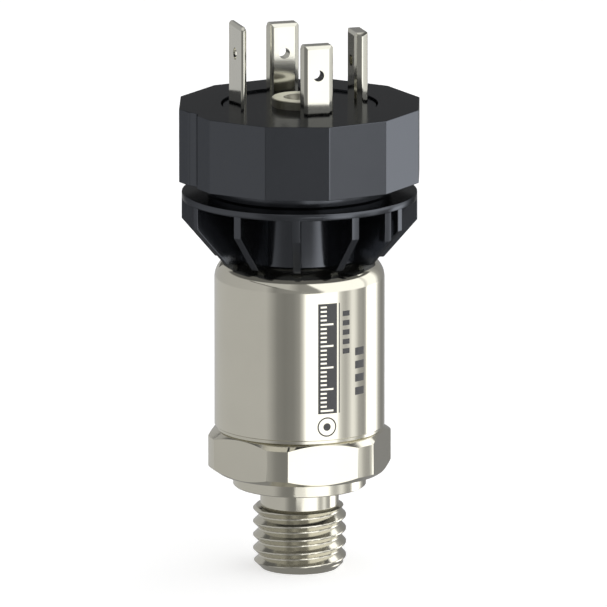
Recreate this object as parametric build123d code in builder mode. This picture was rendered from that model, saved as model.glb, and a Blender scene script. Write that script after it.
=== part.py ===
from build123d import *
import os
from math import cos, radians, sin

# Millimetres. Z runs up the axis from the end face of the screwed stud.
# A turn is an angle about the axis in degrees, from the front (-Y) towards +X.

# Screwed stud with a collar that carries a profile seal
thread_diameter = 13.157
stud_length = 12.0
stud_end_chamfer = 1.1
relief_depth = 1.03
relief_length = 2.1
relief_slope = 0.4
port_diameter = 4.0
port_mouth_chamfer = 0.4
collar_step = 2.82
collar_height = 2.1
profile_seal_inset = 1.2
profile_seal_width = 1.3
profile_seal_groove_depth = 1.2
profile_seal_stand_out = 0.15

# Hexagon with its corners turned down and its flats flush with the shell
hexagon_corner_stand_out = 1.05
hexagon_foot_inset = 0.3
hexagon_height = 6.15
hexagon_lower_chamfer = 0.95
hexagon_upper_chamfer = 0.78
hexagon_turn = -14.0

# Drawn tube that houses the cell and the electronics
shell_diameter = 24.0
shell_wall = 0.9
shell_length = 24.2
shell_shoulder_radius = 3.0
shell_lip_width = 1.1
joint_groove_height = 0.45
joint_groove_depth = 0.3
slip_clearance = 0.05

# Ceramic pressure cell and what holds it
spigot_wall = 1.95
cell_floor_above_hexagon_foot = 4.4
cell_thickness = 6.3
cell_wall = 3.5
cell_diaphragm = 0.6
cell_side_clearance = 0.1
cell_seal_inset = 0.9
cell_seal_width = 2.0
cell_seal_height = 1.4
support_ring_width = 2.8
support_ring_height = 1.6
support_ring_slot_width = 2.0
support_ring_slot_depth = 0.8

# Board and the cup that carries it
holder_clearance = 0.1
holder_wall = 1.0
holder_ledge = 1.1
holder_foot_height = 7.0
board_thickness = 1.0
chip_length = 4.9
chip_width = 3.9
chip_height = 1.3
chip_lead_count = 8
chip_lead_width = 0.42
chip_lead_reach = 1.05
chip_lead_thickness = 0.2
capacitor_length = 2.0
capacitor_width = 1.25
capacitor_height = 0.9
capacitor_count = 3
capacitor_inset = 2.4
cell_pin_diameter = 0.6
cell_pin_count = 4
cell_pin_inset = 1.5
cell_pin_stand_out = 0.6

# Moulded collar with radial ribs
core_inset = 2.6
core_foot_chamfer = 0.25
rib_count = 12
rib_thickness = 1.3
rib_height = 8.4
rib_upright_height = 3.0
rib_foot_inset = 0.1
rib_turn = -1.6
flange_set_back = 0.25
flange_thickness = 1.0
flange_edge_chamfer = 0.15
plug_wall = 1.85
plug_length = 3.9
lock_ring_overhang = 1.5
lock_ring_thickness = 1.0
lock_ring_groove_depth = 0.8
lock_ring_gap = 3.0
shell_seal_width = 1.1
shell_seal_height = 1.4
neck_diameter = 25.8
neck_engagement = 3.7
neck_wall = 2.3
neck_floor_thickness = 1.0
neck_seal_height = 1.6
neck_seal_depth = 1.1
neck_seal_below_top = 0.9

# Twelve-sided head
head_gap = 2.0
head_corner_diameter = 34.84
head_sides = 12
head_height = 10.5
head_turn = -1.0
head_ledge_width = 1.0
flute_radius = 1.7
flute_depth = 0.6
flute_side = 2
flute_offset = 0.5

# Disc that carries the contacts
carrier_diameter = 22.0
carrier_thickness = 3.5
carrier_recess = 0.3
carrier_boss_height = 2.0
contact_turn = 16.8
tail_length = 1.5
insert_diameter = 7.8
insert_stand_out = 1.05
insert_flange_diameter = 9.4
insert_flange_height = 0.9
insert_thread_hole_diameter = 2.5
insert_mouth_diameter = 4.54

# Contact blades, the wide thin one for the protective earth
contact_width = 4.75
contact_thickness = 2.0
contact_side_bevel = 0.8
contact_face_bevel = 0.75
contact_height = 10.3
contact_tip_chamfer = 0.5
contact_hole_diameter = 1.6
contact_hole_below_tip = 4.3
opposed_contact_radius = 8.3
side_contact_radius = 8.55
earth_width = 6.3
earth_thickness = 0.8
earth_side_bevel = 0.5
earth_face_bevel = 0.25
earth_height = 12.2
earth_tip_chamfer = 0.5
earth_hole_diameter = 1.7
earth_hole_below_tip = 4.26
earth_radius = 9.05

# Wires from the contact tails to the board
wire_diameter = 1.2
wire_way_clearance = 0.3
wire_drop = 0.9
wire_bend_radius = 0.8

# Heights along the axis, from the end of the stud upwards
z_collar = stud_length
z_hexagon = z_collar + collar_height
z_hexagon_top = z_hexagon + hexagon_height
z_shell = z_hexagon_top + joint_groove_height
z_shell_top = z_shell + shell_length
z_cell = z_hexagon + cell_floor_above_hexagon_foot
z_cell_top = z_cell + cell_thickness
z_spigot = z_cell_top + support_ring_height
z_board = z_spigot + holder_foot_height
z_board_top = z_board + board_thickness
z_lip = z_shell_top - shell_wall
z_lock_ring_top = z_lip - shell_seal_height
z_lock_ring = z_lock_ring_top - lock_ring_thickness
z_plug = z_shell_top - plug_length
z_flange = z_shell_top + rib_height
z_flange_top = z_flange + flange_thickness
z_neck_floor = z_flange_top + neck_floor_thickness
z_head = z_flange_top + head_gap
z_neck_top = z_head + neck_engagement
z_head_top = z_head + head_height
z_carrier_top = z_head_top - carrier_recess
z_ledge = z_carrier_top - carrier_thickness
z_carrier = z_ledge - carrier_boss_height
z_tail = z_carrier - tail_length

# Radii that several pieces share
thread_radius = thread_diameter / 2
relief_radius = thread_radius - relief_depth
port_radius = port_diameter / 2
collar_radius = thread_radius + collar_step
profile_seal_outer_radius = collar_radius - profile_seal_inset
profile_seal_inner_radius = profile_seal_outer_radius - profile_seal_width
shell_radius = shell_diameter / 2
shell_inner_radius = shell_radius - shell_wall
shoulder_foot_radius = shell_radius - shell_shoulder_radius
mouth_radius = shoulder_foot_radius - shell_lip_width
hexagon_corner_radius = shell_radius + hexagon_corner_stand_out
hexagon_foot_radius = shell_radius - hexagon_foot_inset
spigot_radius = shell_inner_radius - slip_clearance
pocket_radius = spigot_radius - spigot_wall
cell_radius = pocket_radius - cell_side_clearance
cell_bore_radius = cell_radius - cell_wall
cell_seal_outer_radius = pocket_radius - cell_seal_inset
cell_seal_inner_radius = cell_seal_outer_radius - cell_seal_width
support_ring_inner_radius = pocket_radius - support_ring_width
cell_pin_radius = support_ring_inner_radius - cell_pin_inset
holder_radius = shell_inner_radius - holder_clearance
board_radius = holder_radius - holder_wall
capacitor_radius = board_radius - capacitor_inset
plug_radius = mouth_radius - slip_clearance
wire_way_radius = plug_radius - plug_wall
wire_board_radius = wire_way_radius - wire_way_clearance - wire_diameter / 2
lock_groove_radius = plug_radius - lock_ring_groove_depth
lock_ring_radius = mouth_radius + lock_ring_overhang
core_radius = shell_radius - core_inset
rib_foot_radius = shell_radius - rib_foot_inset
head_corner_radius = head_corner_diameter / 2
head_flat_radius = head_corner_radius * cos(radians(180 / head_sides))
flange_radius = head_flat_radius - flange_set_back
neck_radius = neck_diameter / 2
neck_seal_inner_radius = neck_radius - neck_seal_depth
socket_radius = neck_radius + slip_clearance
carrier_radius = carrier_diameter / 2
carrier_seat_radius = carrier_radius + slip_clearance
head_bore_radius = carrier_seat_radius - head_ledge_width
insert_radius = insert_diameter / 2
contact_turns = [contact_turn, contact_turn + 180, contact_turn + 90]
contact_radii = [opposed_contact_radius, opposed_contact_radius, side_contact_radius]
earth_turn = contact_turn - 90


def outward(turn):
    """Direction that points away from the axis at a turn."""
    return (sin(radians(turn)), -cos(radians(turn)), 0)


def sideways(turn):
    """Direction along the tangent at a turn."""
    return (cos(radians(turn)), sin(radians(turn)), 0)


def at(turn, radius, height):
    """Point at a turn, a radius and a height."""
    return (radius * sin(radians(turn)), -radius * cos(radians(turn)), height)


def seal_ring(inner_radius, outer_radius, low, high):
    """A rubber ring, squeezed until it fills its seat's square section."""
    with BuildPart() as ring:
        with BuildSketch(Plane.XY.offset(low)):
            Circle(outer_radius)
            Circle(inner_radius, mode=Mode.SUBTRACT)
        extrude(amount=high - low)
    return ring


def blade(turn, radius, width, thickness, side_bevel, face_bevel, height, tip, hole, hole_drop):
    """A flat contact: bevelled along its long edges, chamfered at its tip and holed."""
    z_tip = z_carrier_top + height
    with BuildPart() as contact:
        with BuildSketch(Plane(at(turn, radius, z_tail), x_dir=sideways(turn), z_dir=(0, 0, 1))):
            with BuildLine():
                Polyline(
                    (width / 2, thickness / 2 - face_bevel),
                    (width / 2 - side_bevel, thickness / 2),
                    (side_bevel - width / 2, thickness / 2),
                    (-width / 2, thickness / 2 - face_bevel),
                    (-width / 2, face_bevel - thickness / 2),
                    (side_bevel - width / 2, -thickness / 2),
                    (width / 2 - side_bevel, -thickness / 2),
                    (width / 2, face_bevel - thickness / 2),
                    close=True,
                )
            make_face()
        extrude(amount=z_tip - z_tail)
        # The tip is narrowed in the front view and again in the side view
        views = [
            (Plane(at(turn, radius, 0), x_dir=sideways(turn), z_dir=outward(turn)), width, tip),
            (Plane(at(turn, radius, 0), x_dir=outward(turn), z_dir=sideways(turn + 180)), thickness, tip / 2),
        ]
        for view, across, cut in views:
            with BuildSketch(view):
                with BuildLine():
                    Polyline(
                        (-across / 2, z_tail),
                        (across / 2, z_tail),
                        (across / 2, z_tip - tip),
                        (across / 2 - cut, z_tip),
                        (cut - across / 2, z_tip),
                        (-across / 2, z_tip - tip),
                        close=True,
                    )
                make_face()
            extrude(amount=width, both=True, mode=Mode.INTERSECT)
        with BuildSketch(Plane(at(turn, radius, z_tip - hole_drop), x_dir=sideways(turn), z_dir=outward(turn))):
            Circle(hole / 2)
        extrude(amount=thickness, both=True, mode=Mode.SUBTRACT)
    return contact


def wire(turn, radius):
    """An insulated wire from a contact's tail down to the board."""
    z_bend = z_tail - wire_drop
    z_straight = z_neck_floor + wire_diameter
    with BuildPart() as lead:
        with BuildLine():
            FilletPolyline(
                at(turn, radius, z_tail),
                at(turn, radius, z_bend),
                at(turn, wire_board_radius, z_straight),
                at(turn, wire_board_radius, z_board_top),
                radius=wire_bend_radius,
            )
        with BuildSketch(Plane(at(turn, radius, z_tail), z_dir=(0, 0, -1))):
            Circle(wire_diameter / 2)
        sweep()
    return lead


# Process connection: stud, collar, hexagon and spigot turned from one bar
with BuildPart() as process_connection:
    with BuildSketch(Plane.XZ):
        with BuildLine():
            Polyline(
                (0, 0),
                (thread_radius - stud_end_chamfer, 0),
                (thread_radius, stud_end_chamfer),
                (thread_radius, z_collar - relief_length - relief_slope),
                (relief_radius, z_collar - relief_length),
                (relief_radius, z_collar),
                (collar_radius, z_collar),
                (collar_radius, z_hexagon),
                (hexagon_foot_radius, z_hexagon),
                (hexagon_corner_radius, z_hexagon + hexagon_lower_chamfer),
                (hexagon_corner_radius, z_hexagon_top - hexagon_upper_chamfer),
                (shell_radius, z_hexagon_top),
                (shell_radius - joint_groove_depth, z_hexagon_top),
                (shell_radius - joint_groove_depth, z_shell),
                (spigot_radius, z_shell),
                (spigot_radius, z_spigot),
                (0, z_spigot),
                close=True,
            )
        make_face()
    revolve(axis=Axis.Z)
    # The six flats leave the corners as turned
    with BuildSketch(Plane.XY.offset(z_hexagon)):
        Circle(2 * hexagon_corner_radius)
        RegularPolygon(shell_radius, 6, major_radius=False, rotation=hexagon_turn - 90, mode=Mode.SUBTRACT)
    extrude(amount=hexagon_height, mode=Mode.SUBTRACT)
    # Pressure port, seal groove and the pocket for the cell
    with BuildSketch(Plane.XZ):
        with BuildLine():
            Polyline(
                (0, 0),
                (port_radius + port_mouth_chamfer, 0),
                (port_radius, port_mouth_chamfer),
                (port_radius, z_cell),
                (cell_seal_inner_radius, z_cell),
                (cell_seal_inner_radius, z_cell - cell_seal_height),
                (cell_seal_outer_radius, z_cell - cell_seal_height),
                (cell_seal_outer_radius, z_cell),
                (pocket_radius, z_cell),
                (pocket_radius, z_spigot),
                (0, z_spigot),
                close=True,
            )
        make_face()
    revolve(axis=Axis.Z, mode=Mode.SUBTRACT)
    # Groove in the collar's underside
    with BuildSketch(Plane.XY.offset(z_collar)):
        Circle(profile_seal_outer_radius)
        Circle(profile_seal_inner_radius, mode=Mode.SUBTRACT)
    extrude(amount=profile_seal_groove_depth, mode=Mode.SUBTRACT)

# Profile seal, pressed into that groove and standing a little out of it
profile_seal = seal_ring(
    profile_seal_inner_radius,
    profile_seal_outer_radius,
    z_collar - profile_seal_stand_out,
    z_collar + profile_seal_groove_depth,
)

# Housing shell: a drawn tube whose top is rolled in to a flat lip
with BuildPart() as housing_shell:
    with BuildSketch(Plane.XZ):
        with BuildLine():
            outer_wall = Line((shell_radius, z_shell), (shell_radius, z_shell_top - shell_shoulder_radius))
            outer_shoulder = JernArc(outer_wall @ 1, (0, 1), shell_shoulder_radius, 90)
            lip_top = Line(outer_shoulder @ 1, (mouth_radius, z_shell_top))
            lip_edge = Line(lip_top @ 1, (mouth_radius, z_lip))
            lip_underside = Line(lip_edge @ 1, (shoulder_foot_radius, z_lip))
            inner_shoulder = JernArc(lip_underside @ 1, (1, 0), shell_shoulder_radius - shell_wall, -90)
            inner_wall = Line(inner_shoulder @ 1, (shell_inner_radius, z_shell))
            Line(inner_wall @ 1, outer_wall @ 0)
        make_face()
    revolve(axis=Axis.Z)

# Ceramic cell: a cup whose closed end is the measuring diaphragm
with BuildPart() as ceramic_cell:
    with BuildSketch(Plane.XY.offset(z_cell)):
        Circle(cell_radius)
    extrude(amount=cell_thickness)
    with BuildSketch(Plane.XY.offset(z_cell)):
        Circle(cell_bore_radius)
    extrude(amount=cell_thickness - cell_diaphragm, mode=Mode.SUBTRACT)

# Seal ring under the cell
cell_seal = seal_ring(cell_seal_inner_radius, cell_seal_outer_radius, z_cell - cell_seal_height, z_cell)

# Support ring screwed down on the cell, with a slot across for its driver
with BuildPart() as cell_support_ring:
    with BuildSketch(Plane.XY.offset(z_cell_top)):
        Circle(pocket_radius)
        Circle(support_ring_inner_radius, mode=Mode.SUBTRACT)
    extrude(amount=support_ring_height)
    with BuildSketch(Plane.XY.offset(z_spigot)):
        Rectangle(2 * pocket_radius, support_ring_slot_width)
    extrude(amount=-support_ring_slot_depth, mode=Mode.SUBTRACT)

# Board holder: a thin cup wall that stands on the spigot and reaches the lock ring
with BuildPart() as board_holder:
    with BuildSketch(Plane.XY.offset(z_spigot)):
        Circle(holder_radius)
        Circle(board_radius - holder_ledge, mode=Mode.SUBTRACT)
    extrude(amount=holder_foot_height)
    with BuildSketch(Plane.XY.offset(z_board)):
        Circle(holder_radius)
        Circle(board_radius, mode=Mode.SUBTRACT)
    extrude(amount=z_lock_ring - z_board)

# Circuit board with the holes that the cell's pins come up through
with BuildPart() as circuit_board:
    with BuildSketch(Plane.XY.offset(z_board)):
        Circle(board_radius)
        with PolarLocations(cell_pin_radius, cell_pin_count, start_angle=contact_turn + 45):
            Circle(cell_pin_diameter / 2, mode=Mode.SUBTRACT)
    extrude(amount=board_thickness)

# Pins from the cell up through the board
with BuildPart() as cell_pins:
    with BuildSketch(Plane.XY.offset(z_cell_top)):
        with PolarLocations(cell_pin_radius, cell_pin_count, start_angle=contact_turn + 45):
            Circle(cell_pin_diameter / 2)
    extrude(amount=z_board_top + cell_pin_stand_out - z_cell_top)

# Amplifier chip: a moulded body on two rows of bent leads
lead_pitch = chip_length / (chip_lead_count / 2)
with BuildPart() as amplifier_chip:
    with BuildSketch(Plane.XY.offset(z_board_top + chip_lead_thickness)):
        Rectangle(chip_length, chip_width)
    extrude(amount=chip_height - chip_lead_thickness)
    with BuildSketch(Plane.XY.offset(z_board_top)):
        with GridLocations(lead_pitch, chip_width, chip_lead_count // 2, 2):
            Rectangle(chip_lead_width, chip_lead_reach)
    extrude(amount=2 * chip_lead_thickness)

# Capacitors soldered round the edge of the board
with BuildPart() as board_capacitors:
    with BuildSketch(Plane.XY.offset(z_board_top)):
        with PolarLocations(capacitor_radius, capacitor_count, start_angle=contact_turn):
            Rectangle(capacitor_width, capacitor_length)
    extrude(amount=capacitor_height)

# Ribbed collar: core, flange, plug and neck are one moulding
with BuildPart() as ribbed_collar:
    with BuildSketch(Plane.XZ) as body_section:
        with BuildLine():
            Polyline(
                (wire_way_radius, z_plug),
                (plug_radius, z_plug),
                (plug_radius, z_lock_ring),
                (lock_groove_radius, z_lock_ring),
                (lock_groove_radius, z_lock_ring_top),
                (plug_radius, z_lock_ring_top),
                (plug_radius, z_shell_top),
                (core_radius - core_foot_chamfer, z_shell_top),
                (core_radius, z_shell_top + core_foot_chamfer),
                (core_radius, z_flange),
                (flange_radius, z_flange),
                (flange_radius, z_flange_top),
                (neck_radius, z_flange_top),
                (neck_radius, z_neck_top - neck_seal_below_top - neck_seal_height),
                (neck_seal_inner_radius, z_neck_top - neck_seal_below_top - neck_seal_height),
                (neck_seal_inner_radius, z_neck_top - neck_seal_below_top),
                (neck_radius, z_neck_top - neck_seal_below_top),
                (neck_radius, z_neck_top),
                (neck_radius - neck_wall, z_neck_top),
                (neck_radius - neck_wall, z_neck_floor),
                (wire_way_radius, z_neck_floor),
                close=True,
            )
        make_face()
        flange_corners = body_section.vertices().group_by(Axis.X)[-1]
        chamfer(flange_corners, flange_edge_chamfer)
    revolve(axis=Axis.Z)
    # Ribs: twelve bars, cut to the outline that slants in to the shell
    with BuildSketch(Plane.XZ) as rib_outline:
        with BuildLine():
            Polyline(
                (core_radius - core_foot_chamfer - rib_thickness, z_shell_top),
                (rib_foot_radius, z_shell_top),
                (flange_radius, z_flange - rib_upright_height),
                (flange_radius, z_flange + flange_thickness / 2),
                (core_radius - core_foot_chamfer - rib_thickness, z_flange + flange_thickness / 2),
                close=True,
            )
        make_face()
    with BuildPart(mode=Mode.PRIVATE) as ribs:
        with BuildSketch(Plane.XY.offset(z_shell_top)):
            with PolarLocations((core_radius + flange_radius) / 2, rib_count, start_angle=rib_turn):
                Rectangle(flange_radius - core_radius + 2 * rib_thickness, rib_thickness)
        extrude(amount=rib_height + flange_thickness / 2)
        revolve(rib_outline.sketch, axis=Axis.Z, mode=Mode.INTERSECT)
    add(ribs.part)

# Seal under the shell's lip, held up by the lock ring
shell_seal = seal_ring(plug_radius, plug_radius + shell_seal_width, z_lock_ring_top, z_lip)

# Lock ring: an open spring ring in the plug's groove
with BuildPart() as lock_ring:
    with BuildSketch(Plane.XY.offset(z_lock_ring)):
        Circle(lock_ring_radius)
        Circle(lock_groove_radius, mode=Mode.SUBTRACT)
        with Locations((0, lock_ring_radius)):
            Rectangle(lock_ring_gap, 2 * lock_ring_radius, mode=Mode.SUBTRACT)
    extrude(amount=lock_ring_thickness)

# Seal ring in the neck's groove, inside the head
neck_seal = seal_ring(
    neck_seal_inner_radius,
    socket_radius,
    z_neck_top - neck_seal_below_top - neck_seal_height,
    z_neck_top - neck_seal_below_top,
)

# Head: a twelve-sided ring, socketed below for the neck and above for the contact disc
flute_turn = head_turn - flute_side * 360 / head_sides
with BuildPart() as twelve_sided_head:
    with BuildSketch(Plane.XY.offset(z_head)):
        RegularPolygon(head_corner_radius, head_sides, rotation=head_turn - 90 + 180 / head_sides)
    extrude(amount=head_height)
    with BuildSketch(Plane.XZ):
        with BuildLine():
            Polyline(
                (0, z_head),
                (socket_radius, z_head),
                (socket_radius, z_neck_top),
                (head_bore_radius, z_neck_top),
                (head_bore_radius, z_ledge),
                (carrier_seat_radius, z_ledge),
                (carrier_seat_radius, z_head_top),
                (0, z_head_top),
                close=True,
            )
        make_face()
    revolve(axis=Axis.Z, mode=Mode.SUBTRACT)
    # An upright flute marks one side
    flute_centre = Plane(
        at(flute_turn, head_flat_radius + flute_radius - flute_depth, z_head),
        x_dir=sideways(flute_turn),
        z_dir=(0, 0, 1),
    )
    with BuildSketch(flute_centre):
        with Locations((-flute_offset, 0)):
            Circle(flute_radius)
    extrude(amount=head_height, mode=Mode.SUBTRACT)

# Contact blades and the wide blade for the protective earth
contact_blades = []
for turn, radius in zip(contact_turns, contact_radii):
    contact_blades.append(
        blade(
            turn,
            radius,
            contact_width,
            contact_thickness,
            contact_side_bevel,
            contact_face_bevel,
            contact_height,
            contact_tip_chamfer,
            contact_hole_diameter,
            contact_hole_below_tip,
        )
    )
earth_blade = blade(
    earth_turn,
    earth_radius,
    earth_width,
    earth_thickness,
    earth_side_bevel,
    earth_face_bevel,
    earth_height,
    earth_tip_chamfer,
    earth_hole_diameter,
    earth_hole_below_tip,
)

# Threaded insert for the plug's screw, flanged below so that it can't pull out
with BuildPart() as threaded_insert:
    with BuildSketch(Plane.XZ):
        with BuildLine():
            Polyline(
                (insert_thread_hole_diameter / 2, z_carrier - insert_flange_height),
                (insert_flange_diameter / 2, z_carrier - insert_flange_height),
                (insert_flange_diameter / 2, z_carrier),
                (insert_radius, z_carrier),
                (insert_radius, z_carrier_top + insert_stand_out),
                (insert_mouth_diameter / 2, z_carrier_top + insert_stand_out),
                (
                    insert_thread_hole_diameter / 2,
                    z_carrier_top + insert_stand_out - (insert_mouth_diameter - insert_thread_hole_diameter) / 2,
                ),
                close=True,
            )
        make_face()
    revolve(axis=Axis.Z)

# Contact carrier: moulded round the blades and the insert
with BuildPart() as contact_carrier:
    with BuildSketch(Plane.XY.offset(z_ledge)):
        Circle(carrier_radius)
    extrude(amount=carrier_thickness)
    with BuildSketch(Plane.XY.offset(z_carrier)):
        Circle(head_bore_radius - slip_clearance)
    extrude(amount=carrier_boss_height)
    for piece in contact_blades + [earth_blade]:
        add(piece.part, mode=Mode.SUBTRACT)
    with BuildSketch(Plane.XY.offset(z_carrier)):
        Circle(insert_radius)
    extrude(amount=z_carrier_top - z_carrier, mode=Mode.SUBTRACT)

# Wires from the four tails to the board
contact_wires = []
for turn, radius in zip(contact_turns, contact_radii):
    contact_wires.append(wire(turn, radius))
earth_wire = wire(earth_turn, earth_radius)

# One file for each piece
nodes = {
    "process_connection": process_connection,
    "profile_seal": profile_seal,
    "housing_shell": housing_shell,
    "ceramic_cell": ceramic_cell,
    "cell_seal": cell_seal,
    "cell_support_ring": cell_support_ring,
    "board_holder": board_holder,
    "circuit_board": circuit_board,
    "cell_pins": cell_pins,
    "amplifier_chip": amplifier_chip,
    "board_capacitors": board_capacitors,
    "ribbed_collar": ribbed_collar,
    "shell_seal": shell_seal,
    "lock_ring": lock_ring,
    "neck_seal": neck_seal,
    "twelve_sided_head": twelve_sided_head,
    "contact_carrier": contact_carrier,
    "threaded_insert": threaded_insert,
    "earth_blade": earth_blade,
    "earth_wire": earth_wire,
}
for number, piece in enumerate(contact_blades, start=1):
    nodes[f"contact_blade_{number}"] = piece
for number, piece in enumerate(contact_wires, start=1):
    nodes[f"contact_wire_{number}"] = piece

os.makedirs("parts", exist_ok=True)
for label, piece in nodes.items():
    piece.part.label = label
    export_step(piece.part, f"parts/{label}.step")
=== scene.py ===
from math import asin, atan2, cos, hypot, pi, radians, sin

import bmesh
import bpy
from mathutils import Matrix, Vector


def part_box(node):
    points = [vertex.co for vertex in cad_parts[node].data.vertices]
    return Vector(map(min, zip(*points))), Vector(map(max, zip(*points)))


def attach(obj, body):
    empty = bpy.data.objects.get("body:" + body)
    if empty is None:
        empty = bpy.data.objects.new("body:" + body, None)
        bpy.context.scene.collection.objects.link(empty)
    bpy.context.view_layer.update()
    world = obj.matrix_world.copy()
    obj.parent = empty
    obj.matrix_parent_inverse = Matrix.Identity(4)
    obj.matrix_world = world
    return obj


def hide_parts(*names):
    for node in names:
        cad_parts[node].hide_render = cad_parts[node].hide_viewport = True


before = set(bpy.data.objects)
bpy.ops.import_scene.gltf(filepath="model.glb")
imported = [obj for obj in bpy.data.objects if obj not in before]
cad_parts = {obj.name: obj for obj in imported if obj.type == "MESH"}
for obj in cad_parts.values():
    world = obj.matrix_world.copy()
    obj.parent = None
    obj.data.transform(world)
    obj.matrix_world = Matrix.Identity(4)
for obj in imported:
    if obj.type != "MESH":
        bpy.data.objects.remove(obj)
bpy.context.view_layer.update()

# Process connection. A bar of stainless steel, turned to a stud, a collar and a hexagon
# blank in one chucking, threaded on the lathe, then milled on six sides for the spanner.
# Every size below is in millimetres, and keep() brings a finished mesh to metres.
mm = 0.001
weld_distance = 0.001


def turned(outline, steps):
    """A closed outline of (radius, height) points, spun once round the axis."""
    bm = bmesh.new()
    points = [bm.verts.new((0, -radius, height)) for radius, height in outline]
    edges = [bm.edges.new(pair) for pair in zip(points, points[1:] + points[:1])]
    bmesh.ops.spin(
        bm,
        geom=points + edges,
        axis=(0, 0, 1),
        cent=(0, 0, 0),
        angle=2 * pi,
        steps=steps,
        use_merge=True,
    )
    bmesh.ops.remove_doubles(bm, verts=bm.verts, dist=weld_distance)
    bmesh.ops.recalc_face_normals(bm, faces=bm.faces)
    return bm


def arc(centre_radius, centre_height, radius, start, end, pieces):
    """Outline points along an arc, its angles in degrees from outward towards up."""
    angles = [radians(start + (end - start) * step / pieces) for step in range(pieces + 1)]
    return [(centre_radius + radius * cos(a), centre_height + radius * sin(a)) for a in angles]


def sharp_edges(bm, smallest):
    """The edges where two faces meet at more than an angle in degrees."""
    return [e for e in bm.edges if len(e.link_faces) == 2 and e.calc_face_angle(0) > radians(smallest)]


def round_edges(bm, width, edges):
    """Rounds some edges over, as a deburring pass or a mould radius leaves them."""
    rounding = bmesh.ops.bevel(
        bm,
        geom=edges,
        offset=width,
        offset_type="OFFSET",
        segments=2,
        profile=0.5,
        affect="EDGES",
        clamp_overlap=True,
        material=-1,
    )
    return rounding["faces"]


def only(kind, elements):
    """The points, edges or faces among what an operator hands back."""
    return [element for element in elements if isinstance(element, kind)]


def edges_at(points):
    """The edges that meet some points, each once and always in the same order."""
    return list(dict.fromkeys(e for v in points for e in v.link_edges))


smooth_below = radians(35)


def keep(bm, name, finish, slot, *nodes):
    """Makes a piece of a mesh, in place of its CAD nodes, and lets it ride on the body."""
    for edge in bm.edges:
        edge.smooth = edge.calc_face_angle(0) < smooth_below
    for face in bm.faces:
        face.smooth = True
    bmesh.ops.scale(bm, vec=(mm, mm, mm), verts=bm.verts)
    mesh = bpy.data.meshes.new(name)
    bm.to_mesh(mesh)
    bm.free()
    mesh.materials.append(finish.material)
    piece = bpy.data.objects.new(name, mesh)
    bpy.context.scene.collection.objects.link(piece)
    shading = piece.modifiers.new("flat faces stay flat", "WEIGHTED_NORMAL")
    shading.keep_sharp = True
    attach(piece, "root")
    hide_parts(*nodes)


class Signal:
    """An output in a node tree. Python's arithmetic on it adds Math nodes."""

    def __init__(self, tree, socket):
        self.tree = tree
        self.socket = socket

    def maths(self, operation, *values):
        return self.tree.node("Math", {"operation": operation}, dict(enumerate(values)))

    def __add__(self, other):
        return self.maths("ADD", self, other)

    def __sub__(self, other):
        return self.maths("SUBTRACT", self, other)

    def __rsub__(self, other):
        return self.maths("SUBTRACT", other, self)

    def __mul__(self, other):
        return self.maths("MULTIPLY", self, other)

    def __truediv__(self, other):
        return self.maths("DIVIDE", self, other)

    def __gt__(self, other):
        return self.maths("GREATER_THAN", self, other)

    def __lt__(self, other):
        return self.maths("LESS_THAN", self, other)

    def __neg__(self):
        return self.maths("MULTIPLY", self, -1)

    __radd__ = __add__
    __rmul__ = __mul__


class Nodes:
    """A node tree, to which one method adds nodes of any type."""

    def __init__(self, tree):
        self.tree = tree

    def node(self, kind, settings=None, inputs=None, output=0):
        """Adds a node: its settings first, then its sockets' values or links."""
        added = self.tree.nodes.new("ShaderNode" + kind)
        for name, value in (settings or {}).items():
            if name == "stops":
                self.set_stops(added.color_ramp, value)
            else:
                setattr(added, name, value)
        self.fill(added, inputs or {})
        return Signal(self, added.outputs[output])

    def fill(self, node, inputs):
        for name, value in inputs.items():
            if isinstance(value, Signal):
                self.tree.links.new(value.socket, node.inputs[name])
            else:
                node.inputs[name].default_value = value

    def set_stops(self, ramp, stops):
        while len(ramp.elements) < len(stops):
            ramp.elements.new(1)
        for element, (place, level) in zip(ramp.elements, stops):
            element.position = place
            element.color = (level, level, level, 1)

    def mix(self, share, first, second):
        """A colour between two, or between two signals that carry one."""
        return self.node("Mix", {"data_type": "RGBA"}, {"Factor": share, 6: first, 7: second}, output=2)

    def parts(self, vector):
        """The three parts of a vector."""
        split = self.node("SeparateXYZ", inputs={0: vector}).socket.node
        return [Signal(self, socket) for socket in split.outputs]


class Finish(Nodes):
    """A surface finish: a material with one Principled shader."""

    def __init__(self, name, **constants):
        self.material = bpy.data.materials.new(name)
        self.material.use_nodes = True
        super().__init__(self.material.node_tree)
        self.shader = self.tree.nodes["Principled BSDF"]
        self.coordinates = self.node("TexCoord", output="Object")
        self.set({key.replace("_", " "): value for key, value in constants.items()})

    def set(self, inputs):
        self.fill(self.shader, inputs)

    def noise(self, across, stretch=(1, 1, 1), detail=2):
        """Fractal noise from 0 to 1, whose grains are so many millimetres across."""
        scale = [1 / (across * mm) * part for part in stretch]
        placed = self.node("Mapping", inputs={"Vector": self.coordinates, "Scale": scale})
        return self.node("TexNoise", inputs={"Vector": placed, "Scale": 1, "Detail": detail})

    def bump(self, height, depth):
        """Raises the surface by a height signal times a depth in millimetres."""
        relief = self.node("Bump", inputs={"Height": height, "Distance": depth * mm, "Strength": 1})
        self.set({"Normal": relief})


ring_stretch = (0.02, 0.02, 1)
groove_depth = 0.0006
cloud_size = 6.0
cloud_shade = 0.93
ink_and_shade_colour = (0.095, 0.095, 0.098, 1)
ink_and_shade_roughness = 0.5


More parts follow.
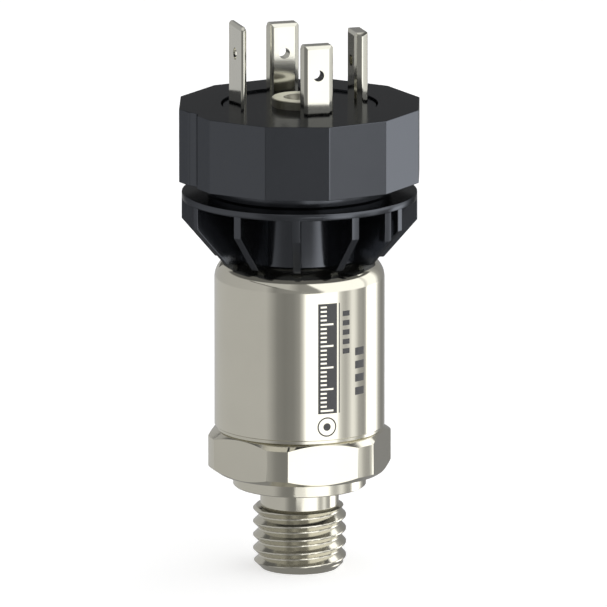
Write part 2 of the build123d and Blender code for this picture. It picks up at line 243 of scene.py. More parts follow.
def machined_finish(name, colour, roughness, groove, print_and_shade=None, duller=None):
    """Bright turned or drawn metal: faint rings from the tool and soft cloudy gloss."""
    finish = Finish(name, Metallic=1.0)
    clouds = finish.noise(cloud_size)
    shaded = [cloud_shade * part for part in colour]
    tint = finish.mix(clouds, (*colour, 1), (*shaded, 1))
    gloss = roughness * (0.85 + 0.3 * clouds)
    # Laser print and painted shade both darken the colour and dull the gloss where their mask is on
    if print_and_shade:
        ink_and_shade = print_and_shade(finish)
        tint = finish.mix(ink_and_shade, tint, ink_and_shade_colour)
        gloss = gloss * (1 - ink_and_shade) + ink_and_shade_roughness * ink_and_shade
        finish.set({"Metallic": 1 - ink_and_shade})
    if duller:
        gloss = gloss + duller(finish)
    finish.set({"Base Color": tint, "Roughness": gloss})
    finish.bump(finish.noise(groove, ring_stretch, 1), groove_depth)
    return finish


turned_steel = machined_finish("turned_steel", (0.65, 0.628, 0.54), 0.14, 0.12)

round_steps = 180
thread_radius = 6.5785
stud_end_chamfer = 1.1
relief_start = 8.9
relief_slope_end = 9.15
relief_radius = 5.55
relief_corner = 0.15
collar_start = 12.0
collar_radius = 9.4
port_radius = 2.0
port_mouth = 0.4
hexagon_start = 14.1
hexagon_end = 20.25
hexagon_foot_radius = 11.7
hexagon_corner_radius = 13.05
hexagon_flat_radius = 12.0
hexagon_lower_chamfer = 0.95
hexagon_upper_chamfer = 0.83
hexagon_turn = -14.0
hexagon_edge = 0.05
lowest_rounded = hexagon_start + 0.3
highest_rounded = hexagon_end - 0.05
innermost_rounded = hexagon_flat_radius - 0.01
shell_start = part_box("housing_shell")[0].z / mm
spigot_radius = 11.05
spigot_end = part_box("process_connection")[1].z / mm
pocket_radius = 9.1
pocket_floor = 18.5
seal_groove_depth = 1.2
seal_inner_radius = 6.9
seal_outer_radius = 8.2
break_edge = 0.12

thread_rows = 160
threaded = [
    (thread_radius, stud_end_chamfer + (relief_start - stud_end_chamfer) * row / thread_rows)
    for row in range(thread_rows)
]
run_out_rows = 12
run_out = [
    (
        thread_radius - (thread_radius - relief_radius) * row / run_out_rows,
        relief_start + (relief_slope_end - relief_start) * row / run_out_rows,
    )
    for row in range(run_out_rows)
]
chamfer_rows = 16
stud_end = [
    (
        thread_radius - stud_end_chamfer * (1 - row / chamfer_rows),
        stud_end_chamfer * row / chamfer_rows,
    )
    for row in range(chamfer_rows)
]
connection_outline = (
    [
        (port_radius, pocket_floor),
        (port_radius, port_mouth),
        (port_radius + port_mouth, 0),
    ]
    + stud_end
    + threaded
    + run_out
    + [
        (relief_radius, relief_slope_end),
        (relief_radius, collar_start - relief_corner),
        (relief_radius + relief_corner, collar_start),
        (seal_inner_radius, collar_start),
        (seal_inner_radius, collar_start + seal_groove_depth),
        (seal_outer_radius, collar_start + seal_groove_depth),
        (seal_outer_radius, collar_start),
        (collar_radius - break_edge, collar_start),
        (collar_radius, collar_start + break_edge),
        (collar_radius, hexagon_start),
        (hexagon_foot_radius, hexagon_start),
        (hexagon_corner_radius, hexagon_start + hexagon_lower_chamfer),
        (hexagon_corner_radius, hexagon_end - hexagon_upper_chamfer),
        (hexagon_foot_radius, hexagon_end),
        (hexagon_foot_radius, shell_start),
        (spigot_radius, shell_start),
        (spigot_radius, spigot_end),
        (pocket_radius, spigot_end),
        (pocket_radius, pocket_floor),
    ]
)
connection = turned(connection_outline, round_steps)

# The thread is cut by drawing the stud's wall in, along a helix that rises to the right
thread_pitch = 1.93
thread_depth = 0.78
crest_land = 0.2
root_land = 0.2
front_crest = 1.25
first_turn_start = 0.3
first_turn_end = 1.2
inside_stud = 4.0
flank = (thread_pitch - crest_land - root_land) / 2


def ramp(value, start, end):
    """A share that rises from 0 to 1 between two numbers."""
    return min(max((value - start) / (end - start), 0), 1)


for vert in connection.verts:
    radius = hypot(vert.co.x, vert.co.y)
    if radius > inside_stud and vert.co.z < relief_slope_end:
        turn = atan2(vert.co.x, -vert.co.y) / (2 * pi)
        phase = ((vert.co.z - front_crest) / thread_pitch - turn) % 1
        from_crest = min(phase, 1 - phase) * thread_pitch
        cut = ramp(from_crest, crest_land / 2, crest_land / 2 + flank)
        cut *= ramp(vert.co.z, first_turn_start, first_turn_end)
        threaded_radius = min(radius, thread_radius - thread_depth * cut)
        vert.co.x *= threaded_radius / radius
        vert.co.y *= threaded_radius / radius


def cut_flat(bm, point, outward):
    """Cuts away what lies beyond a plane and closes the cut with a flat face."""
    cut = bmesh.ops.bisect_plane(
        bm,
        geom=bm.verts[:] + bm.edges[:] + bm.faces[:],
        dist=weld_distance / 2,
        plane_co=point,
        plane_no=outward,
        clear_outer=True,
    )
    bmesh.ops.edgenet_fill(bm, edges=only(bmesh.types.BMEdge, cut["geom_cut"]))


# Six flats, whose edges are rounded as far as the turned chamfers
hexagon_sides = 6
for side in range(hexagon_sides):
    turn = radians(hexagon_turn + 360 / hexagon_sides * (side + 0.5))
    outward = Vector((sin(turn), -cos(turn), 0))
    cut_flat(connection, outward * hexagon_flat_radius, outward)
bmesh.ops.recalc_face_normals(connection, faces=connection.faces)
hexagon_edges = [
    e
    for e in sharp_edges(connection, 20)
    if all(lowest_rounded < v.co.z < highest_rounded for v in e.verts)
    and all(hypot(v.co.x, v.co.y) > innermost_rounded for v in e.verts)
]
round_edges(connection, hexagon_edge, hexagon_edges)
keep(connection, "threaded_connection", turned_steel, "turned_steel", "process_connection")

# Profile seal. A ring of black fluorocarbon rubber with a square section, pressed into
# the groove under the collar, where it stands a little proud.
rubber = Finish("seal_rubber", Roughness=0.6, IOR=1.5)
rubber.set({"Base Color": (0.07, 0.07, 0.068, 1)})
rubber.bump(rubber.noise(0.3), 0.004)
seal_stand_out = 0.15
seal_corner = 0.25
seal_low = collar_start - seal_stand_out
seal_high = collar_start + seal_groove_depth
profile_seal = turned(
    arc(seal_inner_radius + seal_corner, seal_low + seal_corner, seal_corner, 180, 270, 4)
    + arc(seal_outer_radius - seal_corner, seal_low + seal_corner, seal_corner, 270, 360, 4)
    + [(seal_outer_radius, seal_high), (seal_inner_radius, seal_high)],
    round_steps,
)
keep(profile_seal, "collar_profile_seal", rubber, "seal_rubber", "profile_seal")

# Ceramic cell. A cup of white alumina, pressed dry and fired, whose closed end bends under
# pressure. It lies on a rubber ring and keeps its CAD shape, as the inner pieces do.
def dress(finish, *nodes):
    """Gives CAD nodes that keep their shape a better surface."""
    for node in nodes:
        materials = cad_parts[node].data.materials
        materials.clear()
        materials.append(finish.material)


alumina = Finish("fired_alumina", Roughness=0.55)
alumina_grain = alumina.noise(0.15, detail=4)
aluminas = alumina.mix(alumina_grain, (0.86, 0.85, 0.80, 1), (0.78, 0.77, 0.72, 1))
alumina.set({"Base Color": aluminas})
alumina.bump(alumina_grain, 0.003)
dress(alumina, "ceramic_cell", "board_capacitors")
dress(rubber, "cell_seal", "shell_seal", "neck_seal")

# Support ring and board holder. Moulded of unfilled pale polyamide: the ring is screwed
# down on the cell, and the holder is a thin cup that keeps the board off the metal.
pale_nylon = Finish("pale_nylon", Roughness=0.45, Subsurface_Weight=0.05)
nylons = pale_nylon.mix(pale_nylon.noise(2.5), (0.76, 0.74, 0.68, 1), (0.70, 0.68, 0.61, 1))
pale_nylon.set({"Base Color": nylons})
pale_nylon.bump(pale_nylon.noise(0.2), 0.002)
dress(pale_nylon, "cell_support_ring", "board_holder")

# Circuit board. Glass laminate under green lacquer, with copper that shows through as paler
# tracks, a moulded amplifier chip and the cell's gilded pins soldered in it.
board_lacquer = Finish("board_lacquer", Roughness=0.3)
across, along = board_lacquer.parts(board_lacquer.coordinates)[:2]
track_pitch = 1.3
track_share = 0.35
tracks_end = 4.0
track_height = 0.03
slanting = (across + along) / (track_pitch * mm)
tracks = (slanting.maths("FRACT", slanting) < track_share) * (along < tracks_end * mm)
greens = board_lacquer.mix(tracks, (0.02, 0.13, 0.05, 1), (0.05, 0.26, 0.10, 1))
board_lacquer.set({"Base Color": greens})
board_lacquer.bump(tracks, track_height)
dress(board_lacquer, "circuit_board")
chip_resin = Finish("chip_resin", Roughness=0.6)
specks = chip_resin.noise(0.08)
resins = chip_resin.mix(specks, (0.03, 0.03, 0.032, 1), (0.05, 0.05, 0.05, 1))
chip_resin.set({"Base Color": resins})
chip_resin.bump(specks, 0.004)
dress(chip_resin, "amplifier_chip")
dress(machined_finish("pin_gilding", (0.80, 0.62, 0.28), 0.2, 0.1), "cell_pins")

# Housing shell. A tube deep-drawn from stainless sheet, its upper end rolled in to a flat
# lip, polished, pushed over the spigot, welded all round, and marked by laser.
shell_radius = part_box("housing_shell")[1].x / mm
shell_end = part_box("housing_shell")[1].z / mm
shell_wall = 0.9
shoulder_radius = 3.0
mouth_radius = 7.9
marks_start = 24.6
marks_end = 40.4
first_row = 0.3
tick_width = 0.26
ring_place = (3.94, 22.7)
ring_radius = 1.4
ring_width = 0.2
dot_radius = 0.55
lip_fade_start = shell_end - 1.1
lip_fade_end = shell_end - 0.3
lip_roughness = 0.16


def laser_marks(finish):
    """A grey field with a pale scale, a thin line, two rows of strokes, and a ring with a dot."""
    across, along, upward = finish.parts(finish.coordinates)
    round_shell = across.maths("ARCTAN2", across, -along) * shell_radius
    height = upward / mm

    def field(left, right, low=marks_start, high=marks_end):
        return (round_shell > left) * (round_shell < right) * (height > low) * (height < high)

    def rows(pitch, thickness):
        return height.maths("FRACT", (height - marks_start - first_row) / pitch) < thickness / pitch

    short_ticks = field(3.0, 3.9) * rows(0.62, tick_width)
    long_ticks = field(3.0, 4.9) * rows(3.1, tick_width)
    scale = field(2.64, 5.45) * (1 - short_ticks.maths("MAXIMUM", short_ticks, long_ticks))
    line = field(5.74, 5.89)
    aside = round_shell - ring_place[0]
    above = height - ring_place[1]
    from_middle = height.maths("SQRT", aside * aside + above * above)
    ring = (from_middle < ring_radius) * (from_middle > ring_radius - ring_width)
    dot = from_middle < dot_radius
    left_strokes = field(6.35, 7.5, 32.5, 39.7) * rows(1.35, 0.75)
    right_strokes = field(8.5, 10.2, 26.0, 33.8) * rows(1.9, 1.1)
    return scale + line + left_strokes + right_strokes + ring + dot


def rolled_lip(finish):
    """The extra roughness of the lip, which the polishing wheel doesn't reach so well."""
    height = finish.parts(finish.coordinates)[2] / mm
    lip = {"Value": height, "From Min": lip_fade_start, "From Max": lip_fade_end}
    return lip_roughness * finish.node("MapRange", inputs=lip)


drawn_steel = machined_finish("drawn_steel", (0.67, 0.648, 0.56), 0.08, 0.2, laser_marks, rolled_lip)
shell = turned(
    [
        (shell_radius - break_edge, shell_start),
        (shell_radius, shell_start + break_edge),
    ]
    + arc(shell_radius - shoulder_radius, shell_end - shoulder_radius, shoulder_radius, 0, 90, 16)
    + [(mouth_radius, shell_end), (mouth_radius, shell_end - shell_wall)]
    + arc(
        shell_radius - shoulder_radius,
        shell_end - shoulder_radius,
        shoulder_radius - shell_wall,
        90,
        0,
        8,
    )
    + [(shell_radius - shell_wall, shell_start)],
    round_steps,
)
keep(shell, "drawn_shell", drawn_steel, "drawn_steel", "housing_shell")

# Lock ring. A split ring of the same bar steel, sprung into the plug's groove under the
# shell's lip, so that the collar can't be pulled out.
dress(turned_steel, "lock_ring")

# Ribbed collar. One moulding of black glass-filled polyamide: a core, twelve ribs and a
# thin flange, with a plug below that snaps into the shell and a neck above for the head.
# The mould is polished, and the plastic mirrors the room dimly, much as a dark metal does
black_plastic = Finish("black_plastic", Metallic=0.93, Specular_Tint=(0.4, 0.4, 0.4, 1))
plastic_clouds = black_plastic.noise(5.0)
blacks = black_plastic.mix(plastic_clouds, (0.079, 0.084, 0.094, 1), (0.084, 0.089, 0.099, 1))
black_plastic.set({"Base Color": blacks, "Roughness": 0.14 + 0.05 * plastic_clouds})
black_plastic.bump(black_plastic.noise(0.12, detail=3), 0.0012)

collar_low, collar_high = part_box("ribbed_collar")
plug_start = collar_low.z / mm
neck_end = collar_high.z / mm
flange_radius = collar_high.x / mm
rib_height = 8.4
flange_start = shell_end + rib_height
flange_thickness = 1.0
flange_end = flange_start + flange_thickness
flange_edge = 0.15
core_radius = 9.4
core_foot = 0.25
core_head = 0.3
plug_radius = 7.85
wire_way_radius = 6.0
lock_groove_radius = 7.05
lock_groove_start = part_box("lock_ring")[0].z / mm
lock_groove_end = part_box("lock_ring")[1].z / mm
neck_radius = 12.9
neck_wall = 2.3
neck_foot = 0.2
neck_base = 1.0
neck_floor = flange_end + neck_base
neck_groove_radius = 11.8
neck_groove_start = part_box("neck_seal")[0].z / mm
neck_groove_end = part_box("neck_seal")[1].z / mm
collar = turned(
    [
        (wire_way_radius, plug_start),
        (plug_radius, plug_start),
        (plug_radius, lock_groove_start),
        (lock_groove_radius, lock_groove_start),
        (lock_groove_radius, lock_groove_end),
        (plug_radius, lock_groove_end),
        (plug_radius, shell_end),
        (core_radius - core_foot, shell_end),
        (core_radius, shell_end + core_foot),
        (core_radius, flange_start - core_head),
        (core_radius + core_head, flange_start),
    ]
    + arc(flange_radius - flange_edge, flange_start + flange_edge, flange_edge, -90, 0, 3)
    + arc(flange_radius - flange_edge, flange_end - flange_edge, flange_edge, 0, 90, 3)
    + [
        (neck_radius + neck_foot, flange_end),
        (neck_radius, flange_end + neck_foot),
        (neck_radius, neck_groove_start),
        (neck_groove_radius, neck_groove_start),
        (neck_groove_radius, neck_groove_end),
        (neck_radius, neck_groove_end),
        (neck_radius, neck_end),
        (neck_radius - neck_wall, neck_end),
        (neck_radius - neck_wall, neck_floor),
        (wire_way_radius, neck_floor),
    ],
    round_steps,
)

rib_count = 12
rib_turn = -1.7
rib_thickness = 1.15
rib_upright = 3.0
rib_foot_radius = 11.9
rib_let_in = 0.4
rib_root = core_radius - rib_let_in
rib_overlap = 0.1
rib_above_shell = 0.001
rib_edge = 0.12
shortest_rounded = 2.0


def plate(corners, thickness, angle):
    """Adds an upright plate, drawn as (radius, height) corners, and turns it to its place."""
    side = [collar.verts.new((-thickness / 2, -radius, height)) for radius, height in corners]
    face = collar.faces.new(side)
    grown = bmesh.ops.extrude_face_region(collar, geom=[face], use_keep_orig=True)["geom"]
    far = only(bmesh.types.BMVert, grown)
    bmesh.ops.translate(collar, vec=(thickness, 0, 0), verts=far)
    walls = dict.fromkeys(f for v in side + far for f in v.link_faces)
    bmesh.ops.recalc_face_normals(collar, faces=list(walls))
    outer = [
        e
        for e in edges_at(side + far)
        if all(-v.co.y > rib_foot_radius - rib_overlap for v in e.verts)
        and e.calc_length() > shortest_rounded
    ]
    rounding = round_edges(collar, rib_edge, outer)
    whole = {v for f in rounding for v in f.verts} | {v for v in side + far if v.is_valid}
    turn = Matrix.Rotation(radians(angle), 3, "Z")
    bmesh.ops.rotate(collar, cent=(0, 0, 0), matrix=turn, verts=list(whole))


# The ribs stand upright under the flange, then slant in to the shell
rib_corners = [
    (rib_root, shell_end + rib_above_shell),
    (rib_foot_radius, shell_end + rib_above_shell),
    (flange_radius, flange_start - rib_upright),
    (flange_radius, flange_start + rib_overlap),
    (rib_root, flange_start + rib_overlap),
]
for number in range(rib_count):
    plate(rib_corners, rib_thickness, rib_turn + 360 / rib_count * number)

# A lug hangs from the flange between two ribs, on one side only
lug_inset = 0.2
lug_radius = flange_radius - lug_inset
lug_depth = 1.2
lug_length = 4.1
lug_width = 1.3
lug_turn = 49.5
lug_corners = [
    (lug_radius - lug_depth, flange_start - lug_length),
    (lug_radius, flange_start - lug_length),
    (lug_radius, flange_start + rib_overlap),
    (lug_radius - lug_depth, flange_start + rib_overlap),
]
plate(lug_corners, lug_width, lug_turn)
keep(collar, "ribbed_collar_moulding", black_plastic, "black_plastic", "ribbed_collar")

# Head. A twelve-sided ring of the same black polyamide, gripped by hand or by a spanner,
# with a fluted mark on one side. It is pressed on the neck and holds the contact disc.
head_low, head_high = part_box("twelve_sided_head")
head_start = head_low.z / mm
head_end = head_high.z / mm
head_sides = 12
head_corner_radius = 17.42
head_flat_radius = head_corner_radius * cos(pi / head_sides)
head_turn = -1.0
head_edge = 0.1
rounded_beyond = 13.5
socket_radius = 12.95
head_bore_radius = 10.05
disc_rim_height = 3.5
disc_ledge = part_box("contact_carrier")[1].z / mm - disc_rim_height
disc_seat_radius = 11.05
flute_radius = 1.7
flute_depth = 0.6
flute_offset = 0.5
flute_side = 2
flute_steps = 12

# The outline runs round the twelve corners, with the flute's arc let in to its side
head = bmesh.new()
flute_angle = radians(head_turn - flute_side * 360 / head_sides)
flute_out = Vector((sin(flute_angle), -cos(flute_angle), 0))
flute_along = Vector((cos(flute_angle), sin(flute_angle), 0))
flute_centre = flute_out * (head_flat_radius + flute_radius - flute_depth) - flute_along * flute_offset
flute_half = asin((flute_radius - flute_depth) / flute_radius)
corner_points = []
for number in range(head_sides):
    angle = radians(head_turn - 360 / head_sides * (number - 0.5))
    corner_points.append(Vector((sin(angle), -cos(angle), 0)) * head_corner_radius)
    if number == flute_side:
        for step in range(flute_steps + 1):
            swing = (pi / 2 - flute_half) * (1 - 2 * step / flute_steps)
            reach = flute_along * sin(swing) - flute_out * cos(swing)
            corner_points.append(flute_centre + reach * flute_radius)
outer_ring = [head.verts.new(point + Vector((0, 0, head_start))) for point in corner_points]
outer_edges = [head.edges.new(pair) for pair in zip(outer_ring, outer_ring[1:] + outer_ring[:1])]
bore_steps = 120
inner = bmesh.ops.create_circle(head, cap_ends=False, radius=socket_radius, segments=bore_steps)["verts"]
bmesh.ops.translate(head, vec=(0, 0, head_start), verts=inner)
rim = edges_at(inner)
bmesh.ops.triangle_fill(head, edges=outer_edges + rim, use_beauty=True)


def pull_out(edges):
    """Draws a wall out of some edges, and gives the points and edges at its far end."""
    wall = bmesh.ops.extrude_edge_only(head, edges=edges)["geom"]
    points = only(bmesh.types.BMVert, wall)
    return points, [e for e in only(bmesh.types.BMEdge, wall) if set(e.verts) <= set(points)]


top_ring, top_edges = pull_out(outer_edges)
bmesh.ops.translate(head, vec=(0, 0, head_end - head_start), verts=top_ring)
for radius, height in [
    (socket_radius, neck_end),
    (head_bore_radius, neck_end),
    (head_bore_radius, disc_ledge),
    (disc_seat_radius, disc_ledge),
    (disc_seat_radius, head_end),
]:
    ring, rim = pull_out(rim)
    for vert in ring:
        scale = radius / hypot(vert.co.x, vert.co.y)
        vert.co = (vert.co.x * scale, vert.co.y * scale, height)
bmesh.ops.triangle_fill(head, edges=top_edges + rim, use_beauty=True)
bmesh.ops.remove_doubles(head, verts=head.verts, dist=weld_distance / 2)
bmesh.ops.recalc_face_normals(head, faces=head.faces)
head_edges = [
    e for e in sharp_edges(head, 25) if all(hypot(v.co.x, v.co.y) > rounded_beyond for v in e.verts)
]
round_edges(head, head_edge, head_edges)
keep(head, "twelve_sided_grip", black_plastic, "black_plastic", "twelve_sided_head")

# Contact disc. The same black polyamide, moulded round the blades and the bush, pressed
# into the head a little below its top, with a narrow gap left round its edge.
disc_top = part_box("contact_carrier")[1].z / mm
disc_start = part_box("contact_carrier")[0].z / mm
disc_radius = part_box("contact_carrier")[1].x / mm
insert_radius = 3.9
disc_clearance = 0.05
disc_edge = 0.05
disc_gap_width = 0.2
disc_gap_depth = 0.9
disc = turned(
    [
        (insert_radius, disc_start),
        (head_bore_radius - disc_clearance, disc_start),
        (head_bore_radius - disc_clearance, disc_ledge),
        (disc_radius, disc_ledge),
        (disc_radius, disc_top - disc_gap_depth),
        (disc_radius - disc_gap_width, disc_top - disc_gap_depth),
        (disc_radius - disc_gap_width, disc_top - disc_edge),
        (disc_radius - disc_gap_width - disc_edge, disc_top),
        (insert_radius, disc_top),
    ],
    round_steps,
)
keep(disc, "contact_disc", black_plastic, "black_plastic", "contact_carrier")

# Threaded insert. A brass bush with a dull nickel coat, moulded into the disc, with a fine
# thread for the plug's screw and a wide straight mouth. Its sides carry painted shade.
insert_low, insert_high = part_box("threaded_insert")
insert_start = insert_low.z / mm
insert_stand_out = 0.17
insert_end = insert_high.z / mm + insert_stand_out
unshaded_top_depth = 0.03
bush_metal = Finish("bush_nickel", Roughness=0.4)
unshaded_top = bush_metal.parts(bush_metal.coordinates)[2] > (insert_end - unshaded_top_depth) * mm
# The sides are painted much darker than the top: painted shade
nickels_with_painted_shade = bush_metal.mix(unshaded_top, (0.30, 0.29, 0.24, 1), (0.72, 0.71, 0.60, 1))
bush_metal.set({"Base Color": nickels_with_painted_shade, "Metallic": 1 - 0.3 * unshaded_top})
bush_metal.bump(bush_metal.noise(0.15, ring_stretch, 1), groove_depth)
insert_flange_radius = 4.7
insert_flange = 0.9
insert_hole_radius = 1.25
insert_mouth_radius = 2.27
insert_edge = 0.12
insert_mouth_end = insert_end - 1.9
insert_rows = 60
insert_steps = 96
insert = turned(
    [
        (insert_mouth_radius, insert_end),
        (insert_radius - insert_edge, insert_end),
        (insert_radius, insert_end - insert_edge),
        (insert_radius, insert_start + insert_flange),
        (insert_flange_radius, insert_start + insert_flange),
        (insert_flange_radius, insert_start),
    ]
    + [
        (insert_hole_radius, insert_start + (insert_mouth_end - insert_start) * row / insert_rows)
        for row in range(insert_rows + 1)
    ],
    insert_steps,
)
screw_pitch = 0.5
screw_depth = 0.27
screw_start = insert_start + 0.1
screw_end = insert_mouth_end - 0.05
for vert in insert.verts:
    radius = hypot(vert.co.x, vert.co.y)
    if radius < insert_mouth_radius - break_edge and screw_start < vert.co.z < screw_end:
        turn = atan2(vert.co.x, -vert.co.y) / (2 * pi)
        phase = (vert.co.z / screw_pitch - turn) % 1
        grown = radius + screw_depth * 2 * min(phase, 1 - phase)
        vert.co.x *= grown / radius
        vert.co.y *= grown / radius
keep(insert, "screw_insert", bush_metal, "contact_nickel", "threaded_insert")

# Contact blades. Three stout pins of copper alloy, coined with bevelled long edges, and a
# thin wide one for the earth, all nickel plated, holed for solder and moulded in the disc.
def painted_hole_shade(finish):
    """Painted shade on a hole's walls, as strong as the mesh says."""
    return finish.node("Attribute", {"attribute_name": "stain"}, output=2)


contact_metal = machined_finish("contact_nickel", (0.61, 0.60, 0.53), 0.11, 0.15, painted_hole_shade)
contact_edge = 0.06
tip_side_rise = 1.0
tip_face_rise = 0.36
hole_steps = 40


def contact(name, node, turn, distance, width, thickness, coining, tip, hole, drop, hole_shaded):
    """A blade, drawn with its front towards -Y and then turned to its place."""
    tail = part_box(node)[0].z / mm
    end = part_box(node)[1].z / mm
    half = width / 2
    deep = thickness / 2
    quarter = [(half - inset, deep - sunk) for inset, sunk in coining]
    section = quarter + [(-x, y) for x, y in quarter[::-1]]
    section += [(-x, -y) for x, y in section]
    bm = bmesh.new()
    stain = bm.faces.layers.float.new("stain")
    face = bm.faces.new([bm.verts.new((x, y, tail)) for x, y in section])
    grown = bmesh.ops.extrude_face_region(bm, geom=[face], use_keep_orig=True)["geom"]
    bmesh.ops.translate(bm, vec=(0, 0, end - tail), verts=only(bmesh.types.BMVert, grown))
    for sign in (-1, 1):
        cut_flat(bm, Vector((sign * half, 0, end - tip)), Vector((sign, 0, tip_side_rise)))
        cut_flat(bm, Vector((0, sign * deep, end - tip)), Vector((0, sign, tip_face_rise)))
    bmesh.ops.recalc_face_normals(bm, faces=bm.faces)
    round_edges(bm, contact_edge, sharp_edges(bm, 15))
    # The hole joins the front and back faces
    rims = []
    for sign in (-1, 1):
        facing = [f for f in bm.faces if f.normal.y * sign > 0.99]
        flat = max(facing, key=lambda f: f.calc_area())
        distance_in = flat.calc_center_median().y
        border = list(flat.edges)
        bmesh.ops.delete(bm, geom=[flat], context="FACES_ONLY")
        ring = bmesh.ops.create_circle(bm, cap_ends=False, radius=hole / 2, segments=hole_steps)["verts"]
        upright = Matrix.Rotation(pi / 2, 3, "X")
        bmesh.ops.rotate(bm, cent=(0, 0, 0), matrix=upright, verts=ring)
        bmesh.ops.translate(bm, vec=(0, distance_in, end - drop), verts=ring)
        rim = edges_at(ring)
        bmesh.ops.triangle_fill(bm, edges=border + rim, use_beauty=True)
        rims += rim
    # The hole's walls are marked where the blade takes painted shade in its hole
    for wall in bmesh.ops.bridge_loops(bm, edges=rims)["faces"]:
        wall[stain] = hole_shaded
    bmesh.ops.recalc_face_normals(bm, faces=bm.faces)
    bmesh.ops.translate(bm, vec=(0, -distance, 0), verts=bm.verts)
    placing = Matrix.Rotation(radians(turn), 3, "Z")
    bmesh.ops.rotate(bm, cent=(0, 0, 0), matrix=placing, verts=bm.verts)
    keep(bm, name, contact_metal, "contact_nickel", node)


contact_turn = 16.8
# Only the first contact's hole walls get painted shade
for number, (quarters, distance) in enumerate([(0, 8.3), (2, 8.3), (1, 8.55)], start=1):
    contact(
        f"plug_contact_{number}",
        f"contact_blade_{number}",
        contact_turn + 90 * quarters,
        distance,
        width=4.75,
        thickness=2.0,
        coining=[(0, 0.9), (0.3, 0.233), (0.8, 0)],
        tip=0.5,
        hole=1.6,
        drop=4.3,
        hole_shaded=number == 1,
    )
contact(
    "earth_contact",
    "earth_blade",
    contact_turn - 90,
    9.05,
    width=6.3,
    thickness=0.8,
    coining=[(0, 0.33), (0.15, 0)],
    tip=0.5,
    hole=1.7,
    drop=4.26,
    hole_shaded=False,
)

# Wires. Stranded copper in soft sleeves, crimped to the blades' tails and soldered to the
# board: red for the signals, and green with a yellow stripe for the earth.
red_sleeve = Finish("red_sleeve", Roughness=0.4)
reds = red_sleeve.mix(red_sleeve.noise(1.0), (0.55, 0.08, 0.05, 1), (0.45, 0.06, 0.04, 1))
red_sleeve.set({"Base Color": reds})
red_sleeve.bump(red_sleeve.noise(0.3), 0.004)
dress(red_sleeve, "contact_wire_1", "contact_wire_2", "contact_wire_3")
striped_sleeve = Finish("striped_sleeve", Roughness=0.4)
along, upward = striped_sleeve.parts(striped_sleeve.coordinates)[1:]
stripe_pitch = 2.0
stripe_share = 0.4
slanting = (upward + along) / (stripe_pitch * mm)
stripe = slanting.maths("FRACT", slanting) < stripe_share
stripes = striped_sleeve.mix(stripe, (0.03, 0.30, 0.06, 1), (0.75, 0.62, 0.04, 1))
striped_sleeve.set({"Base Color": stripes})
striped_sleeve.bump(striped_sleeve.noise(0.3), 0.004)
dress(striped_sleeve, "earth_wire")

# Room. A pale floor that keeps the shadow, and a studio of tall soft lights that stand
# round the object. Metal sees the lights as upright bands, as the photograph shows.
def room_panel(name, corners, finish, seen):
    """A flat panel of the room, with the share that a ray sees of it; the rest is clear."""
    bm = bmesh.new()
    bm.faces.new([bm.verts.new([part * mm for part in corner]) for corner in corners])
    mesh = bpy.data.meshes.new(name)
    bm.to_mesh(mesh)
    bm.free()
    mesh.materials.append(finish.material)
    panel = bpy.data.objects.new(name, mesh)
    bpy.context.scene.collection.objects.link(panel)
    solid = Signal(finish, finish.shader.outputs[0])
    mixed = finish.node("MixShader", inputs={0: seen, 1: finish.node("BsdfTransparent"), 2: solid})
    finish.fill(finish.tree.nodes["Material Output"], {"Surface": mixed})


black = (0, 0, 0, 1)
white = (1, 1, 1, 1)
floor_reach = 3000
floor_corners = [(-1, -1, 0), (1, -1, 0), (1, 1, 0), (-1, 1, 0)]
floor_paint = Finish("floor_paint", Roughness=0.9)
floor_glow = floor_paint.mix(floor_paint.node("LightPath", output="Is Camera Ray"), black, white)
floor_paint.set(
    {
        "Base Color": (0.82, 0.82, 0.82, 1),
        "Specular IOR Level": 0.0,
        "Emission Color": floor_glow,
        "Emission Strength": 0.6,
    }
)
room_panel(
    "floor",
    [[floor_reach * part for part in corner] for corner in floor_corners],
    floor_paint,
    1 - floor_paint.node("LightPath", output="Is Glossy Ray"),
)


def card(name, corners, strength, fade_start=100, fade_end=101):
    """A flat card that only reflections see, and that can fade away towards the right."""
    paper = Finish(name + "_paper", Roughness=1.0)
    paper.set({"Base Color": black, "Emission Color": white, "Emission Strength": strength})
    across = paper.parts(paper.coordinates)[0] / mm
    fade = paper.node("MapRange", inputs={"Value": across, "From Min": fade_start, "From Max": fade_end})
    room_panel(name, corners, paper, paper.node("LightPath", output="Is Glossy Ray") * (1 - fade))


# One keeps the front light off the ribs, one darkens the right contact's inner side, and
# one lies on the floor in front and brightens the collar
card("front_flag", [(3, -60, 32.3), (40, -60, 32.3), (40, -60, 44.3), (3, -60, 44.3)], 0.4, 22, 38)
card("back_flag", [(-40, 60, 48), (-22, 60, 48), (-22, 60, 69), (-40, 60, 69)], 0.1)
card("floor_light", [(-8, -76, 0.5), (11, -76, 0.5), (11, -46, 0.5), (-8, -46, 0.5)], 1.4)

world = bpy.data.worlds.new("studio")
bpy.context.scene.world = world
world.use_nodes = True
sky = Nodes(world.node_tree)
direction = sky.node("TexCoord", output="Generated")
east, north, up = sky.parts(direction)
azimuth = east.maths("ARCTAN2", east, -north) * (180 / pi)
share = (azimuth + 180) / 360
brightest = 3.0


def lights(levels):
    """Soft lights all round, as (degrees from the front towards the right, strength)."""
    stops = [((turn + 180) / 360, level / brightest) for turn, level in levels]
    return sky.parts(sky.node("ValToRGB", {"stops": stops}, {"Fac": share}))[0] * brightest


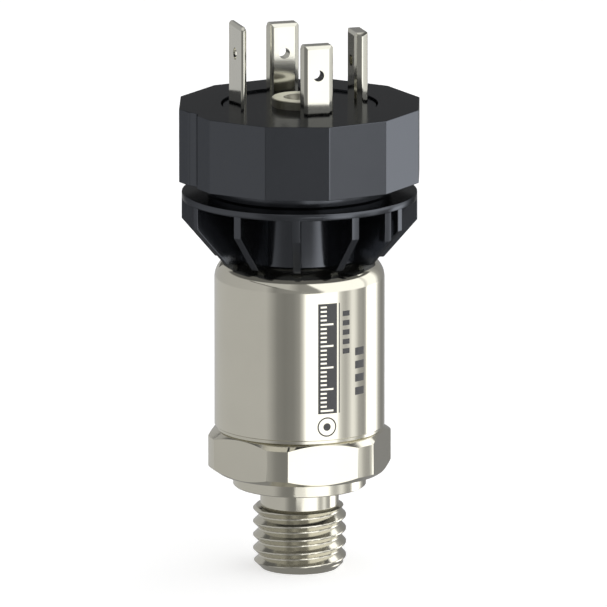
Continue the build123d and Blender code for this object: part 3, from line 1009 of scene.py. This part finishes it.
low_lights = lights(
    [
        (-180, 0.58),
        (-156, 0.58),
        (-144, 0.62),
        (-46, 0.62),
        (-30, 0.31),
        (-20, 0.27),
        (-8, 0.3),
        (0, 0.42),
        (5, 0.9),
        (9, 2.0),
        (52, 2.0),
        (56, 1.1),
        (61, 0.72),
        (66, 0.62),
        (71, 0.82),
        (76, 1.25),
        (80, 1.2),
        (84, 0.9),
        (88, 0.55),
        (98, 0.42),
        (102, 0.7),
        (106, 2.8),
        (121, 3.0),
        (128, 1.6),
        (135, 0.6),
        (145, 0.3),
        (156, 0.3),
        (168, 0.45),
    ]
)
high_lights = lights(
    [
        (-180, 0.28),
        (-165, 0.5),
        (-46, 0.6),
        (-34, 0.3),
        (2, 0.36),
        (24, 0.4),
        (34, 1.6),
        (96, 1.6),
        (100, 1.0),
        (106, 1.6),
        (124, 1.6),
        (134, 0.5),
        (145, 0.34),
        (180, 0.28),
    ]
)
height = up.maths("ARCSINE", up) * (180 / pi)


def between(value, start, end):
    """A share that rises from 0 to 1 between two values."""
    return sky.node("MapRange", inputs={"Value": value, "From Min": start, "From Max": end})


def blend(first, second, share_of_second):
    """A level between two levels."""
    return first * (1 - share_of_second) + second * share_of_second


# A slanting light on each side, in front, with a dark line along the left one's edge
left_light = 0.66
left_slope = 0.62
left_border = (0.02, 0.04)
left_end = (-16, 0)
right_light = 1.6
right_slope = 1.75
right_border = (0.88, 1.0)
line_light = 0.1
line_start = -0.03
line_end = -30
front_border = (-0.1, -0.2)
low_border = (-10.5, -7.5)
front = between(north, *front_border)
left_edge = up + left_slope * east
left_slant = between(left_edge, *left_border) * (1 - between(azimuth, *left_end)) * front
right_slant = between(up + right_slope * east, *right_border) * (azimuth > 0) * front
dark_line = (left_edge > line_start) * (left_edge < left_border[0]) * (azimuth < line_end) * front
upper = blend(blend(high_lights, left_light, left_slant), right_light, right_slant)
level = blend(low_lights, blend(upper, line_light, dark_line), between(height, *low_border))

# The dark ceiling ends at the back, and lets in a small light on the right
ceiling_light = 0.15
ceiling_slope = 0.19
ceiling_border = (0.5, 0.54)
back_start = (129, 133)
back_top = (33, 37)
small_light = 2.0
small_light_start = 108
small_light_end = 158
small_light_foot = (33, 36)
small_light_top = (48, 50)
overhead_light = 1.0
overhead_border = (60, 66)
light_from_below = 0.3
below_border = (19, 26)
turned_away = azimuth.maths("ABSOLUTE", azimuth)
behind = between(turned_away, *back_start) * (1 - between(height, *back_top))
ceiling = between(up + ceiling_slope * north, *ceiling_border)
level = blend(level, ceiling_light, ceiling * (1 - behind))
opening = (azimuth > small_light_start) * (azimuth < small_light_end)
opening = opening * between(height, *small_light_foot) * (1 - between(height, *small_light_top))
level = blend(level, small_light, opening)
level = blend(level, overhead_light, between(height, *overhead_border))
level = blend(level, light_from_below, between(-height, *below_border))

# The camera itself sees plain white
direct = sky.node("LightPath", output="Is Camera Ray")
background = sky.tree.nodes["Background"]
sky.fill(background, {"Color": white, "Strength": level * (1 - direct) + direct})

# Camera, at the photograph's viewing angle: far off, with a long lens, looking down a
# little on the object, which stands just left of the picture's middle.
picture_width = 607
focal_length_in_pixels = 16061.46
viewing_distance = 2262.46
look_down = radians(12.408)
aim_height = 37.958
aim_right = 0.563
camera_data = bpy.data.cameras.new("camera")
camera_data.sensor_width = 36
camera_data.lens = focal_length_in_pixels * camera_data.sensor_width / picture_width
camera_data.clip_end = 20
camera = bpy.data.objects.new("camera", camera_data)
bpy.context.scene.collection.objects.link(camera)
camera.location = (
    aim_right * mm,
    -viewing_distance * cos(look_down) * mm,
    (aim_height + viewing_distance * sin(look_down)) * mm,
)
camera.rotation_euler = (pi / 2 - look_down, 0, 0)
bpy.context.scene.camera = camera
bpy.context.scene.view_settings.view_transform = "Standard"
